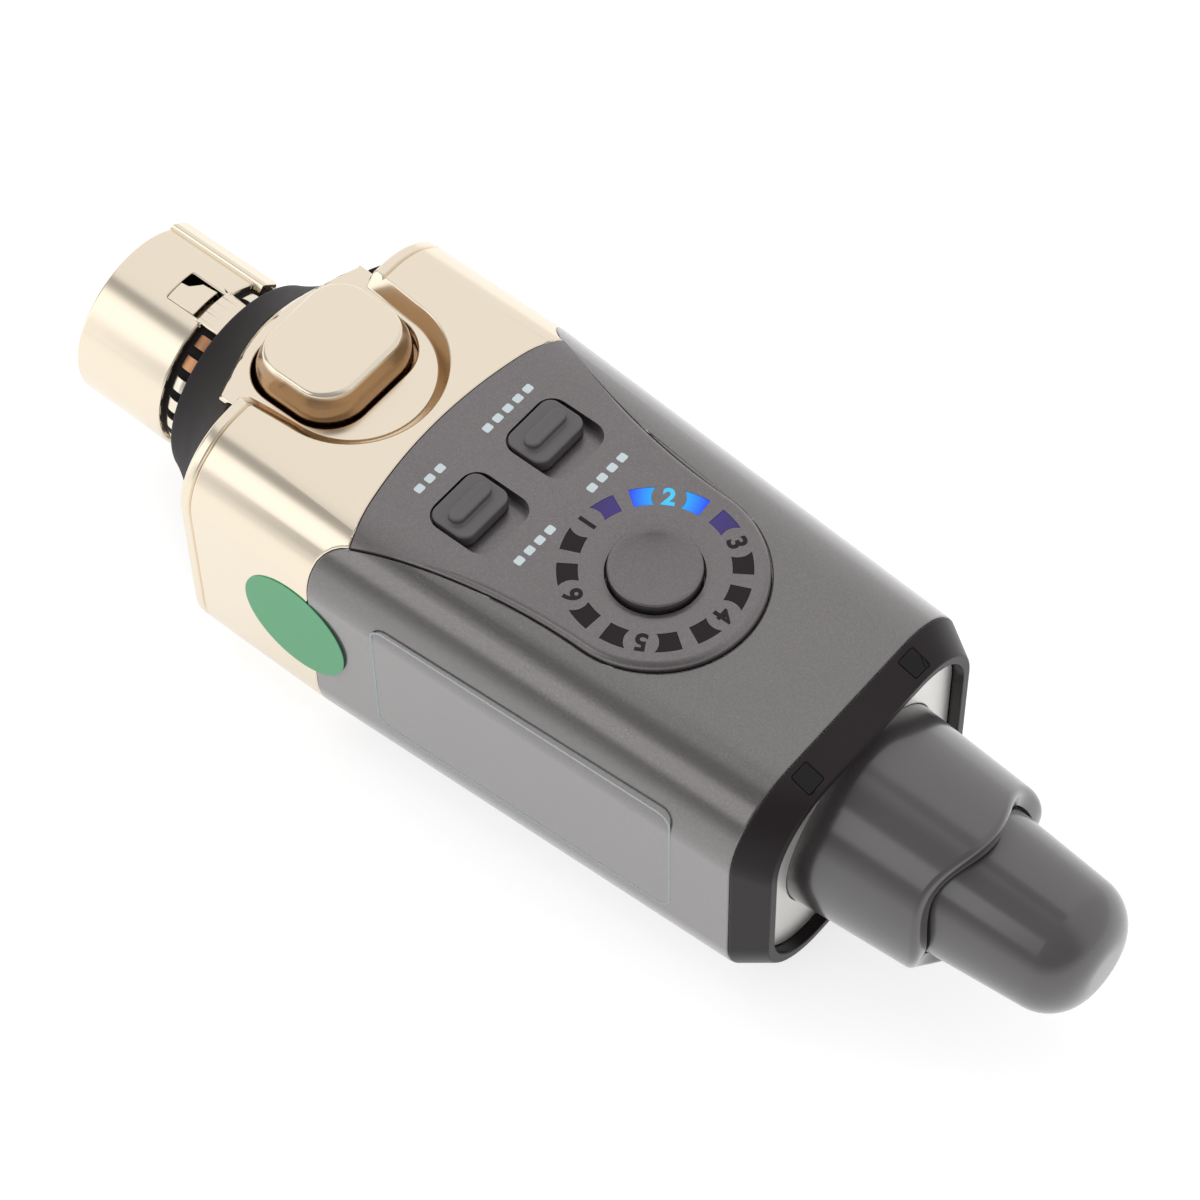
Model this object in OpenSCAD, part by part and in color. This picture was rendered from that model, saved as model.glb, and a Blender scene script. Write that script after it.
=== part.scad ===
// Plug-on wireless transmitter: a female three-pin connector at one end, a slim
// body with slide switches and a channel button, and a stub antenna at the other.
// X runs along the connector axis, from the mating face towards the antenna.
// The origin is the centre of the mating face. +Z is the control side.

/* [Connector] */
// Outer radius of the connector nose
nose_r = 9.4; // [9.2:0.05:9.5]
// Length of the full-diameter nose
nose_len = 11.1; // [10.5:0.1:11.2]
// Wall of the connector nose
nose_wall = 1.2; // [1.0:0.05:1.2]
// Bore radius of each contact
contact_bore_r = 1.25; // [1.2:0.01:1.3]
// Radius of the circle that the contacts lie on
contact_circle_r = 4.76; // [4.7:0.01:4.8]

/* [Body] */
// Half width of the body at the connector end
body_half_w = 18.9; // [18.6:0.1:19.4]
// Half width of the body at the antenna end
rear_half_w = 16.6; // [16.2:0.1:17.2]
// Height of the control panel above the axis
top_z = 15.9; // [15.7:0.1:16.2]
// Height of the body above the axis at the antenna end
rear_top_z = 14.6; // [14.4:0.1:15.0]
// Depth of the flat underside below the axis
underside = 15.2; // [15.0:0.1:15.8]
// Radius of the long edges of the body
edge_r = 8; // [7:0.1:8.4]
// Wall of both casings
wall = 1.6; // [1.4:0.1:1.8]

/* [Latch] */
// Travel of the release button
latch_travel = 0.6; // [0.5:0.1:0.7]
// Length of the release button along the body
latch_len = 12.2; // [11.8:0.1:12.4]
// Width of the release button
latch_w = 14.4; // [13.8:0.1:14.8]
// Height of the button's crown above the axis
latch_top_z = 17.8; // [17.2:0.1:18.2]

/* [Controls] */
// Radius of the channel button
button_r = 4.45; // [4.2:0.05:4.6]
// Inner radius of the ring of channel lights
ring_in_r = 7.07; // [6.9:0.01:7.1]
// Outer radius of the ring of channel lights
ring_out_r = 9.0; // [8.8:0.05:9.1]
// Length of each slide switch opening
slot_len = 7.6; // [7.4:0.1:7.8]
// Width of each slide switch opening
slot_w = 7.5; // [7.2:0.1:7.6]
// Travel of each slide switch
switch_travel = 2.3; // [2:0.1:2.3]

/* [Antenna] */
// Root radius of the antenna base
antenna_base_r = 10.75; // [10.4:0.05:10.8]
// Radius of the antenna cap at its root
antenna_cap_r = 7.95; // [7.6:0.05:8]
// Overall length of the transmitter
overall_len = 118; // [115:0.5:120]

/* [Hidden] */
$fn = 64;

// Gap at seams between fixed parts, round parts that are pressed together, and round moving ones
seam = 0.1;
fit = 0.05;
play = 0.25;

// Connector, along X
neck_r = 8.6;
neck_end_x = 25.2;
bore_r = nose_r - nose_wall;
window = [6.4, 10.2];
window_half_w = 1.9;
key_angle = 42;
key_w = 2.4;
key_end_x = 12.2;
insert_x = [0.9, 21];
contact_x = [1.2, 17];
contact_r = 1.75;
tail_r = 0.9;
tail_end_x = 23;
bore_end_x = 13.2;
spring_ring_x = [11.3, 13.7];
spring_ring_r = 9.25;
finger_count = 24;
finger_gap = [1.5, 0.9];
finger_x = (spring_ring_x[0] + spring_ring_x[1] - finger_gap[0]) / 2;
boot_x = 13.8;
boot_r = 10.7;
boot_curve = [0.38, 0.05];
ledge_curve = [0.25, 0.084];

// Body, along X
front_x = 23.5;
front_wall = 1.5;
ledge_x = 19.4;
ledge_half_w = 10;
ledge_z = 13.7;
seam_x = 39.6;
band_x = 88;
band_end_x = 91.4;
plate_x = [89.0, 90.2];
roof_z = 13.3;
band_end_half_w = 14.8;
band_end_top_z = 13.5;
band_end_low_z = -13.9;

// Thumb recess round the release button
recess_x = 29.4;
recess_r = 9.4;
recess_cut = 1.6;
recess_z = 14.5;
recess_floor_r = 7.9;
latch_x = 20.8;
flange_z = [12.1, 12.9];
flange_x = [25.3, 34.4];
notch_z = flange_z[0] - latch_travel - seam;
peg_x = 26.7;
pivot = [36, 7.1];
pin_r = 0.75;
lever_t = 1.0;
lever_w = 3.2;
ear_x = [34, 38];
shelf_z = [1.6, 2.6];
spring_pos = [30.5, shelf_z[1] + 0.35, pivot[1] - 0.95];
spring_r = 1.5;
spring_wire_r = 0.25;
spring_turns = 4;
spring_steps = 56;

// Control panel and what sits under it
panel_z = 13.5;
ring_x = 66;
panel_end_r = 10.6;
button_dish_r = 17;
panel_front_x = 42.3;
panel_front_half_w = 15.2;
panel_arc_r = 49;
switch_x = 49.6;
switch_y = 5.4;
knob_len = slot_len - switch_travel - 2 * play;
knob_w = 6.7;
knob_floor_z = 14.5;
knob_z = 16.1;
ridge_w = 1.6;
stem_w = 1.0;
stem_start = play + 0.5;
slit_len = stem_w + switch_travel + 2 * play;
board_z = [7.8, 9.0];
posts = [[47, 12.4], [82, 11.6]];
post_r = 2.1;
screw_r = 0.8;
screw_z = [3, 9.5];
window_pos = [89.75, 7.77];
window_size = 2.15;

// Charging socket, on the far side
port_x = 61;
port_z = 6.0;

// Antenna
flange_r = antenna_base_r + 1.3;
flange_t = 1.6;
base_end_r = 9.87;
base_end_x = 104.05;
base_edge_r = 0.75;
tip_r = antenna_cap_r - 1.05;
tip_edge_r = 4.4;
tip_x = overall_len - tip_edge_r;

// ---- shared shapes ----

// Extrudes a Y-Z outline along X
module along_x(x0, x1) { translate([x0, 0, 0]) rotate([90, 0, 90]) linear_extrude(x1 - x0) children(); }

// Cylinder lying along X
module rod_x(x0, x1, r) { translate([x0, 0, 0]) rotate([0, 90, 0]) cylinder(h = x1 - x0, r = r); }

// Turns an outline of [radius, x] points about the X axis
module turned() { rotate([0, 90, 0]) rotate_extrude() children(); }

// Rectangle with round corners between two opposite corners
module round_rect(low, high, r) {
    translate([low[0] + r, low[1]]) square([high[0] - low[0] - 2 * r, high[1] - low[1]]);
    translate([low[0], low[1] + r]) square([high[0] - low[0], high[1] - low[1] - 2 * r]);
    for (x = [low[0] + r, high[0] - r], y = [low[1] + r, high[1] - r]) translate([x, y]) circle(r);
}

// Cross-section of the body, shrunk all round by inset
module section(half_w, low, high, inset = 0) {
    round_rect([-half_w + inset, low + inset], [half_w - inset, high - inset], edge_r - inset);
}

// Tapered length of the body
module taper(x0, half0, low0, high0, x1, half1, low1, high1, inset = 0) {
    hull() {
        along_x(x0, x0 + 0.01) section(half0, low0, high0, inset);
        along_x(x1 - 0.01, x1) section(half1, low1, high1, inset);
    }
}

module rear_form(inset = 0, over = 0) {
    taper(seam_x - over, body_half_w, -underside, top_z,
          band_x + over, rear_half_w, -underside, rear_top_z, inset);
}

// Everything ahead of the seam between the two casings
module ahead_of_seam(gap) {
    corner = [[panel_front_x, panel_front_half_w], [41.5, 15.6], [40.9, 16.05], [40.35, 16.65],
              [39.95, 17.3], [39.72, 18.1], [seam_x, 19.3], [seam_x, 25]];
    translate([-gap, 0, -30]) linear_extrude(60) difference() {
        polygon(concat([[0, 25]], [[0, -25]], [for (i = [7:-1:0]) [corner[i][0], -corner[i][1]]], corner));
        translate([seam_bulge_x() + panel_arc_r, 0]) circle(panel_arc_r, $fn = 180);
    }
}
function seam_bulge_x() = panel_front_x - panel_arc_r
    + sqrt(panel_arc_r * panel_arc_r - panel_front_half_w * panel_front_half_w);

// Teardrop outline of the control panel: a bowed front edge, hollow flanks and a round end
function flank(x) = panel_end_r
    + (panel_front_half_w - panel_end_r) * pow((ring_x - x) / (ring_x - panel_front_x), 1.9);
function bow(y) = seam_bulge_x() + panel_arc_r - sqrt(panel_arc_r * panel_arc_r - y * y);
module panel_outline(grow = 0) {
    end_r = panel_end_r + grow;
    side = [for (i = [0:14])
        let (x = panel_front_x + (ring_x - panel_front_x) * i / 14) [x, flank(x) + grow]];
    end = [for (a = [84:-6:-84]) [ring_x + end_r * cos(a), end_r * sin(a)]];
    front = [for (i = [-9:9]) let (y = panel_front_half_w * i / 10) [bow(y) - grow, y]];
    polygon(concat(side, end, [for (i = [14:-1:0]) [side[i][0], -side[i][1]]], front));
}

// The pair of light segments beside a channel's number
module segment_pair(angle, gap) {
    for (side = [-1, 1]) translate([ring_x, 0, 0]) rotate(angle + side * 17) intersection() {
        difference() {
            translate([0, 0, panel_z - gap]) cylinder(h = top_z - panel_z + gap, r = ring_out_r + gap);
            translate([0, 0, panel_z - 1]) cylinder(h = 6, r = ring_in_r - gap);
        }
        translate([0, 0, panel_z - 1]) linear_extrude(6)
            polygon([[0, 0], [12, -12 * tan(8) - gap], [12, 12 * tan(8) + gap]]);
    }
}

module at_each_post() { for (p = posts, side = [-1, 1]) translate([p[0], side * p[1], 0]) children(); }

// ---- connector ----

// Keying rib on the upper far side of the nose
module key_rib(gap = 0) {
    rotate([-key_angle, 0, 0]) translate([0, -key_w / 2 - gap, nose_r - 0.8])
        cube([key_end_x + gap, key_w + 2 * gap, 1.4]);
}

// Tongue of the nose behind the latch window
module window_bridge(gap = 0) intersection() {
    rod_x(nose_len - 0.5, boot_x - seam + gap, nose_r + gap);
    translate([nose_len - 0.5, -2.2 - gap, bore_r - 1]) cube([4, 4.4 + 2 * gap, 5]);
}

module connector_shell() color([0.80, 0.77, 0.70]) difference() {
    union() {
        rod_x(0, nose_len, nose_r);
        rod_x(nose_len - 1, neck_end_x, neck_r);
        key_rib();
        window_bridge();
    }
    rod_x(-1, neck_end_x + 1, bore_r);
    translate([window[0], -window_half_w, 6]) cube([window[1] - window[0], 2 * window_half_w, 6]);
}

module at_contact(angle) {
    translate([0, contact_circle_r * sin(angle), contact_circle_r * cos(angle)]) children();
}

module connector_insert() color([0.06, 0.06, 0.07]) difference() {
    rod_x(insert_x[0], insert_x[1], bore_r - fit);
    // Channel that the lever dips into
    translate([window[0] - 0.6, -2.6, 4.2]) cube([neck_end_x, 5.2, 6]);
    for (angle = [-90, 90, 180]) at_contact(angle) rod_x(0, neck_end_x + 1, contact_r + fit);
}

// Tubular contact with a solder tail
module contact(angle) {
    color([0.86, 0.70, 0.36]) at_contact(angle) difference() {
        union() {
            rod_x(contact_x[0], contact_x[1], contact_r);
            rod_x(contact_x[1] - 1, tail_end_x, tail_r);
        }
        rod_x(contact_x[0] - 0.2, bore_end_x, contact_bore_r);
    }
}
module contact_1() { contact(-90); }
module contact_2() { contact(90); }
module contact_3() { contact(180); }

// Slotted ring of sprung fingers behind the nose
module ground_spring() color([0.78, 0.68, 0.50]) difference() {
    rod_x(spring_ring_x[0], spring_ring_x[1], spring_ring_r);
    rod_x(spring_ring_x[0] - 1, spring_ring_x[1] + 1, neck_r + fit);
    key_rib(seam);
    window_bridge(seam);
    for (i = [0:finger_count - 1]) rotate([i * 360 / finger_count, 0, 0])
        translate([finger_x, -finger_gap[1] / 2, neck_r - 0.6]) cube([finger_gap[0], finger_gap[1], 2]);
}

// Hollow flare from the collar's front rim out to the lip of the casing
function flare(length, curve) = boot_r + curve[0] * length + curve[1] * pow(length, 2);
module flare_form(inner_r, curve) {
    outer = [for (i = [0:12]) let (length = (front_x + 1 - boot_x) * i / 12) [flare(length, curve), boot_x + length]];
    turned() polygon(concat([[inner_r, boot_x]], outer, [[inner_r, front_x + 1]]));
}

module gasket_ring() color([0.05, 0.05, 0.06]) difference() {
    intersection() {
        flare_form(neck_r + 0.1, boot_curve);
        along_x(boot_x, front_x - seam) section(body_half_w, -underside, top_z, 1.4);
    }
    translate([ledge_x - 1, -ledge_half_w - seam, ledge_z - seam])
        cube([6, 2 * (ledge_half_w + seam), 6]);
    latch_opening();
}

// ---- latch ----

// Cylinder across the body, on the lever's pivot
module at_pivot(length, r) {
    translate([pivot[0], 0, pivot[1]]) rotate([90, 0, 0]) cylinder(h = length, r = r, center = true);
}

module latch_lever() color([0.80, 0.77, 0.70]) difference() {
    union() {
        translate([window[0] + play, -lever_w / 2, pivot[1] - lever_t / 2]) {
            cube([pivot[0] - window[0], lever_w, lever_t]);
            cube([window[1] - window[0] - 2 * play, lever_w, 2.5]);
        }
        at_pivot(4.8, 1.9);
    }
    at_pivot(6, pin_r + fit);
}

module latch_pivot_pin() color([0.70, 0.70, 0.72]) at_pivot(9.8, pin_r);

// Compression spring between the shelf and the lever
function spring_ring(i) = let (t = i / spring_steps, a = 360 * spring_turns * t)
    [for (k = [0:7]) let (b = 45 * k, r = spring_r + spring_wire_r * cos(b))
        [spring_pos[0] + r * cos(a), r * sin(a),
         spring_pos[1] + (spring_pos[2] - spring_pos[1]) * t + spring_wire_r * sin(b)]];
module latch_spring() color([0.70, 0.70, 0.72]) polyhedron(
    points = [for (i = [0:spring_steps]) each spring_ring(i)],
    faces = concat([[for (k = [0:7]) k]], [[for (k = [7:-1:0]) 8 * spring_steps + k]],
        [for (i = [0:spring_steps - 1], k = [0:7], half = [0, 1])
            let (a = 8 * i + k, b = 8 * i + (k + 1) % 8) half == 0 ? [a, a + 8, b + 8] : [a, b + 8, b]]));

module latch_plan(inset, r) {
    round_rect([latch_x + inset, -latch_w / 2 + inset],
               [latch_x + latch_len - inset, latch_w / 2 - inset], r);
}

// Opening in the casing and the collar that the button passes through
module latch_opening() { translate([0, 0, notch_z]) linear_extrude(6) latch_plan(-play, 4.6); }

module latch_button() color([0.82, 0.79, 0.72]) {
    translate([0, 0, flange_z[1] - 0.1]) linear_extrude(2) latch_plan(0, 4.4);
    hull() {
        translate([0, 0, recess_z + 0.2]) linear_extrude(0.4, $fn = 32) latch_plan(0, 4.4);
        translate([0, 0, latch_top_z - 1.2]) linear_extrude(0.1, $fn = 32) latch_plan(0.5, 4.1);
        translate([0, 0, latch_top_z - 0.1]) linear_extrude(0.1, $fn = 32) latch_plan(1.7, 3.4);
    }
    // Flange under the casing's roof, and the peg that presses on the lever
    translate([0, 0, flange_z[0]]) linear_extrude(flange_z[1] - flange_z[0])
        round_rect([flange_x[0], -8.6], [flange_x[1], 8.6], 2);
    translate([peg_x, 0, pivot[1] + lever_t / 2 + seam]) cylinder(h = flange_z[0] - pivot[1] - 0.5, r = 1.1);
}

// ---- casings ----

module front_housing() color([0.80, 0.77, 0.70]) difference() {
    union() {
        difference() {
            intersection() {
                along_x(front_x, 46) section(body_half_w, -underside, top_z);
                ahead_of_seam(seam);
            }
            along_x(front_x + front_wall, 47) round_rect([wall - body_half_w, wall - underside],
                                                         [body_half_w - wall, roof_z], edge_r - wall);
        }
        // Ledge of the thumb recess, which reaches forward over the collar
        intersection() {
            flare_form(1, ledge_curve);
            translate([ledge_x - 1, -ledge_half_w, ledge_z]) cube([6, 2 * ledge_half_w, recess_z - ledge_z]);
        }
        // Shelf and ears that carry the lever and its spring
        translate([27, -6, shelf_z[0]]) cube([11, 12, shelf_z[1] - shelf_z[0]]);
        translate([ear_x[0], wall / 2 - body_half_w, shelf_z[0]])
            cube([ear_x[1] - ear_x[0], 2 * body_half_w - wall, shelf_z[1] - shelf_z[0]]);
        for (side = [-1, 1]) translate([ear_x[0], side * 3.9 - 0.9, shelf_z[0]])
            cube([ear_x[1] - ear_x[0], 1.8, 8]);
    }
    rod_x(ledge_x - 1, front_x + front_wall + 0.5, neck_r + fit);
    // Thumb recess, with sloping walls and open to the front
    translate([recess_x, 0, recess_z]) cylinder(h = recess_cut, r1 = recess_floor_r, r2 = recess_r);
    along_x(ledge_x - 1, recess_x) polygon([
        [-recess_floor_r, recess_z], [recess_floor_r, recess_z],
        [recess_r, recess_z + recess_cut], [-recess_r, recess_z + recess_cut]]);
    translate([ledge_x - 1, -20, recess_z]) cube([front_x - ledge_x + 1, 40, 4]);
    latch_opening();
    at_pivot(20, pin_r);
}

module rear_housing() color([0.33, 0.32, 0.32]) difference() {
    union() {
        difference() {
            rear_form();
            rear_form(wall, 1);
        }
        intersection() {
            at_each_post() translate([0, 0, 0.7 - underside])
                cylinder(h = board_z[0] + underside - 0.7, r = post_r);
            rear_form(0.5);
        }
    }
    ahead_of_seam(0);
    translate([0, 0, 12.5]) linear_extrude(6) panel_outline(seam);
    at_each_post() translate([0, 0, screw_z[0] - 2]) cylinder(h = 12, r = screw_r + fit);
    translate([port_x, 0, port_z]) rotate([-90, 0, 0]) linear_extrude(30)
        round_rect([-4.65, -1.75], [4.65, 1.75], 1.4);
}

module end_band_form(inset = 0) {
    taper(band_x + seam, rear_half_w, -underside, rear_top_z,
          band_end_x, band_end_half_w, band_end_low_z, band_end_top_z, inset);
}

module window_boxes(gap = 0) {
    for (side = [-1, 1]) translate([window_pos[0], side * window_pos[1], 15])
        cube([window_size - 2 * gap, window_size - 2 * gap, 8], center = true);
}

module end_band() color([0.22, 0.22, 0.23]) difference() {
    end_band_form();
    along_x(band_x - 1, band_end_x + 1) plate_outline(seam);
    window_boxes();
}

module status_windows() color([0.03, 0.03, 0.04]) intersection() {
    end_band_form();
    difference() {
        window_boxes(0.03);
        cube([200, 60, 25.2], center = true);
    }
}

// Outline of the end plate
module plate_outline(grow = 0) {
    round_rect([-13.7 - grow, -12.8 - grow], [13.7 + grow, 12.4 + grow], 6.9 + grow);
}

module end_plate() color([0.80, 0.80, 0.79]) difference() {
    along_x(plate_x[0], plate_x[1]) plate_outline();
    rod_x(80, 100, antenna_base_r + fit);
}

module inspection_sticker() color([0.33, 0.74, 0.50])
    translate([37.5, -body_half_w - 0.02, 1.2]) rotate([90, 0, 0]) cylinder(h = 0.1, r = 6.2);

// ---- controls ----

module switch_opening(side) {
    translate([switch_x - slot_len / 2, side * switch_y - slot_w / 2, 0]) children();
}

module control_panel() color([0.33, 0.32, 0.32]) difference() {
    // Its corners follow the round edges of the body
    intersection() {
        translate([0, 0, panel_z]) linear_extrude(top_z - panel_z) panel_outline();
        along_x(seam_x, band_x) section(body_half_w, -underside, top_z);
    }
    translate([ring_x, 0, 12]) cylinder(h = 6, r = button_r + play);
    for (side = [-1, 1]) {
        switch_opening(side) {
            translate([0, 0, knob_floor_z]) linear_extrude(3) round_rect([0, 0], [slot_len, slot_w], 1.8);
            // Slit for the stem
            translate([stem_start - play, slot_w / 2 - 1.9, 12]) cube([slit_len, 3.8, 4]);
        }
    }
    for (channel = [0:5]) segment_pair(180 - 60 * channel, 0.03);
}

module channel_lenses() color([0.05, 0.05, 0.07])
    for (channel = [0, 2, 3, 4, 5]) segment_pair(180 - 60 * channel, 0);

module active_lens() color([0.05, 0.35, 1.0]) segment_pair(120, 0);

module light_guide() color([0.85, 0.87, 0.88]) translate([ring_x, 0, 12.3]) difference() {
    cylinder(h = panel_z - 12.4, r = ring_out_r + 0.4);
    translate([0, 0, -1]) cylinder(h = 4, r = ring_in_r - 0.4);
}

module channel_button() color([0.27, 0.27, 0.28]) translate([ring_x, 0, 0]) difference() {
    union() {
        translate([0, 0, 13]) cylinder(h = top_z + 0.5 - 13, r = button_r);
        // Flange under the panel
        translate([0, 0, 12.3]) cylinder(h = 0.8, r = 5.6);
    }
    translate([0, 0, top_z + 0.5 + button_dish_r - 0.5]) sphere(r = button_dish_r, $fn = 96);
}

module knob(side) {
    color([0.24, 0.24, 0.25]) switch_opening(side) {
        translate([play, (slot_w - knob_w) / 2, knob_floor_z + seam])
            linear_extrude(knob_z - knob_floor_z - seam) round_rect([0, 0], [knob_len, knob_w], 1.2);
        // Thumb ridge, and the stem down into the switch
        translate([play + knob_len / 2, slot_w / 2, 15]) linear_extrude(knob_z + 0.8 - 15)
            round_rect([-ridge_w / 2, -2.5], [ridge_w / 2, 2.5], 0.79);
        translate([stem_start, slot_w / 2 - 1.5, 11.4]) cube([stem_w, 3, 4]);
    }
}
module line_switch_knob() { knob(-1); }
module power_switch_knob() { knob(1); }

module switch_body(side) {
    color([0.62, 0.62, 0.64]) switch_opening(side) difference() {
        translate([-0.4, slot_w / 2 - 2.6, board_z[1]]) cube([8.4, 5.2, 3.4]);
        translate([stem_start - play, slot_w / 2 - 1.8, 11.1]) cube([slit_len, 3.6, 3]);
    }
}
module line_switch_body() { switch_body(-1); }
module power_switch_body() { switch_body(1); }

// ---- inside ----

module tact_switch() color([0.15, 0.15, 0.16]) translate([ring_x, 0, board_z[1]]) {
    translate([-3, -3, 0]) cube([6, 6, 2]);
    translate([0, 0, 1]) cylinder(h = 1.6, r = 1.6);
}

module circuit_board() color([0.05, 0.30, 0.16]) difference() {
    translate([42, -14.2, board_z[0]]) cube([44, 28.4, board_z[1] - board_z[0]]);
    at_each_post() translate([0, 0, 5]) cylinder(h = 6, r = screw_r + 0.15);
}

module board_screws() color([0.70, 0.70, 0.72]) at_each_post() {
    translate([0, 0, screw_z[0]]) cylinder(h = screw_z[1] - screw_z[0], r = screw_r);
    translate([0, 0, board_z[1]]) cylinder(h = 1.1, r = 2 * screw_r);
}

module battery() color([0.62, 0.64, 0.66]) translate([44, 0, -11.5]) rotate([90, 0, 90])
    linear_extrude(36) round_rect([-9.8, 0], [9.8, 6.5], 1.5);

module battery_pad() color([0.12, 0.12, 0.12]) translate([46, -8, -13.5]) cube([32, 16, 1.95]);

module radio_shield() color([0.78, 0.78, 0.80]) translate([74.5, -7.5, board_z[1]]) difference() {
    cube([10.5, 15, 2.4]);
    translate([0.3, 0.3, -1]) cube([9.9, 14.4, 3.1]);
}

module charging_socket() color([0.75, 0.75, 0.77]) translate([port_x, 10.4, port_z]) rotate([-90, 0, 0]) {
    difference() {
        linear_extrude(7) round_rect([-4.47, -1.6], [4.47, 1.6], 1.3);
        translate([0, 0, 1]) linear_extrude(7) round_rect([-4.17, -1.3], [4.17, 1.3], 1.1);
    }
    translate([-3.3, -0.35, 0.5]) cube([6.6, 0.7, 5]);
}

// ---- antenna ----

module antenna_base() color([0.24, 0.24, 0.25]) turned() polygon(concat(
    [[antenna_cap_r + fit, plate_x[0] - flange_t], [flange_r, plate_x[0] - flange_t],
     [flange_r, plate_x[0]], [antenna_base_r, plate_x[0]], [antenna_base_r, plate_x[1]]],
    [for (a = [0:15:90]) [base_end_r - base_edge_r * (1 - cos(a)), base_end_x - base_edge_r * (1 - sin(a))]],
    [[antenna_cap_r + fit, base_end_x]]));

module antenna_cap() color([0.25, 0.25, 0.26]) turned() difference() {
    intersection() {
        union() {
            polygon([[0, 92], [antenna_cap_r, 92], [antenna_cap_r, 101], [tip_r, tip_x], [0, tip_x]]);
            translate([tip_r - tip_edge_r, tip_x]) circle(tip_edge_r);
            translate([0, tip_x - 1]) square([tip_r - tip_edge_r, tip_edge_r + 1]);
        }
        translate([0, 80]) square([20, 60]);
    }
    translate([-1, 80]) square([4.2, 32]);
}

module antenna_element() color([0.86, 0.70, 0.36]) rod_x(86.8, 111, 2);

connector_shell();
connector_insert();
contact_1();
contact_2();
contact_3();
ground_spring();
gasket_ring();
latch_lever();
latch_pivot_pin();
latch_spring();
latch_button();
front_housing();
rear_housing();
control_panel();
channel_button();
channel_lenses();
active_lens();
light_guide();
line_switch_knob();
power_switch_knob();
line_switch_body();
power_switch_body();
tact_switch();
circuit_board();
board_screws();
battery();
battery_pad();
radio_shield();
charging_socket();
end_band();
status_windows();
end_plate();
antenna_base();
antenna_cap();
antenna_element();
inspection_sticker();
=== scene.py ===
import math

import bmesh
import bpy
from mathutils import Euler, Matrix, Vector


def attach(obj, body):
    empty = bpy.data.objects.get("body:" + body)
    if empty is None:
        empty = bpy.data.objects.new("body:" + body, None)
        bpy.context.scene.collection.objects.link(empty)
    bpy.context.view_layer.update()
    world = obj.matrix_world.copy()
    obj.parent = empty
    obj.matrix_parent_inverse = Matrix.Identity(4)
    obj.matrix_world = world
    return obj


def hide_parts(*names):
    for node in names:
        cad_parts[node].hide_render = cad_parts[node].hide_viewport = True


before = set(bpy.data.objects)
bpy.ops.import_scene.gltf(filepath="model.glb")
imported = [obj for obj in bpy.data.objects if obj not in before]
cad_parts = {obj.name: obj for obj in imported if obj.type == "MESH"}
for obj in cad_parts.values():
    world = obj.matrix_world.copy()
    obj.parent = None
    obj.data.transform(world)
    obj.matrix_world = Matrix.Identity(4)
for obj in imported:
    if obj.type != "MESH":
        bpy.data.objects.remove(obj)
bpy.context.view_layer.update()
scene = bpy.context.scene
scene.view_settings.view_transform = "Standard"

# ---------------------------------------------------------------- camera and studio
# A long lens looks down on the transmitter from its antenna end, over the
# label side. The table is white, and the room is a pale tent with two bright
# soft panels in its walls and a small dark patch straight above.

camera = bpy.data.objects.new("camera", bpy.data.cameras.new("camera"))
camera.data.lens, camera.data.sensor_width = 128.157, 36
camera.data.clip_start, camera.data.clip_end = 0.01, 20
roll = Matrix.Rotation(math.radians(-1.339), 3, "Z")
turn = Euler((math.radians(33.09), 0, math.radians(40.702))).to_matrix() @ roll
camera.matrix_world = Matrix.Translation((0.2020, -0.1659, 0.3400)) @ turn.to_4x4()
scene.collection.objects.link(camera)
scene.camera = camera


def tools(node_tree):
    """Short ways to add a node with its settings, and to join two sockets."""

    def add(kind, **settings):
        node = node_tree.nodes.new(kind)
        for key, value in settings.items():
            if hasattr(node, key):
                setattr(node, key, value)
            else:
                node.inputs[key.replace("_", " ")].default_value = value
        return node

    return add, node_tree.links.new


def tree(owner):
    """The same tools, for the emptied node tree of a world or a material."""
    owner.use_nodes = True
    owner.node_tree.nodes.clear()
    return tools(owner.node_tree)


def white_background(add, join, mirrored, scattered):
    """1 where the camera or a glass looks, mirrored where metal does, scattered for light on matt things."""
    path = add("ShaderNodeLightPath")
    rays = {
        "Is Camera Ray": 1, "Is Transmission Ray": 1, "Is Glossy Ray": mirrored, "Is Diffuse Ray": scattered,
    }
    seen = None
    for kind, share in rays.items():
        part = add("ShaderNodeMath", operation="MULTIPLY")
        part.inputs[1].default_value = share
        join(path.outputs[kind], part.inputs[0])
        if seen:
            either = add("ShaderNodeMath", operation="MAXIMUM")
            join(part.outputs[0], either.inputs[0])
            join(seen, either.inputs[1])
            seen = either.outputs[0]
        else:
            seen = part.outputs[0]
    return seen


room = bpy.data.worlds.new("room")
scene.world = room
add, join = tree(room)
way = add("ShaderNodeTexCoord")


def soft_edge(vector, low, high):
    """1 beyond the plane square to vector, 0 short of it, with a soft edge from low to high."""
    reach = add("ShaderNodeVectorMath", operation="DOT_PRODUCT")
    reach.inputs[1].default_value = vector
    join(way.outputs["Generated"], reach.inputs[0])
    edge = add("ShaderNodeMapRange", interpolation_type="SMOOTHSTEP", From_Min=low, From_Max=high)
    join(reach.outputs["Value"], edge.inputs["Value"])
    return edge.outputs[0]


def layer(under, over, mask):
    """over laid on under, by mask. Each of the two is a socket or a brightness."""
    mix = add("ShaderNodeMix", data_type="FLOAT")
    join(mask, mix.inputs["Factor"])
    for socket, value in ((mix.inputs["A"], under), (mix.inputs["B"], over)):
        if isinstance(value, float):
            socket.default_value = value
        else:
            join(value, socket)
    return mix.outputs["Result"]


def times(first, second):
    """Where both masks are."""
    product = add("ShaderNodeMath", operation="MULTIPLY")
    join(first, product.inputs[0])
    join(second, product.inputs[1])
    return product.outputs[0]


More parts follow.
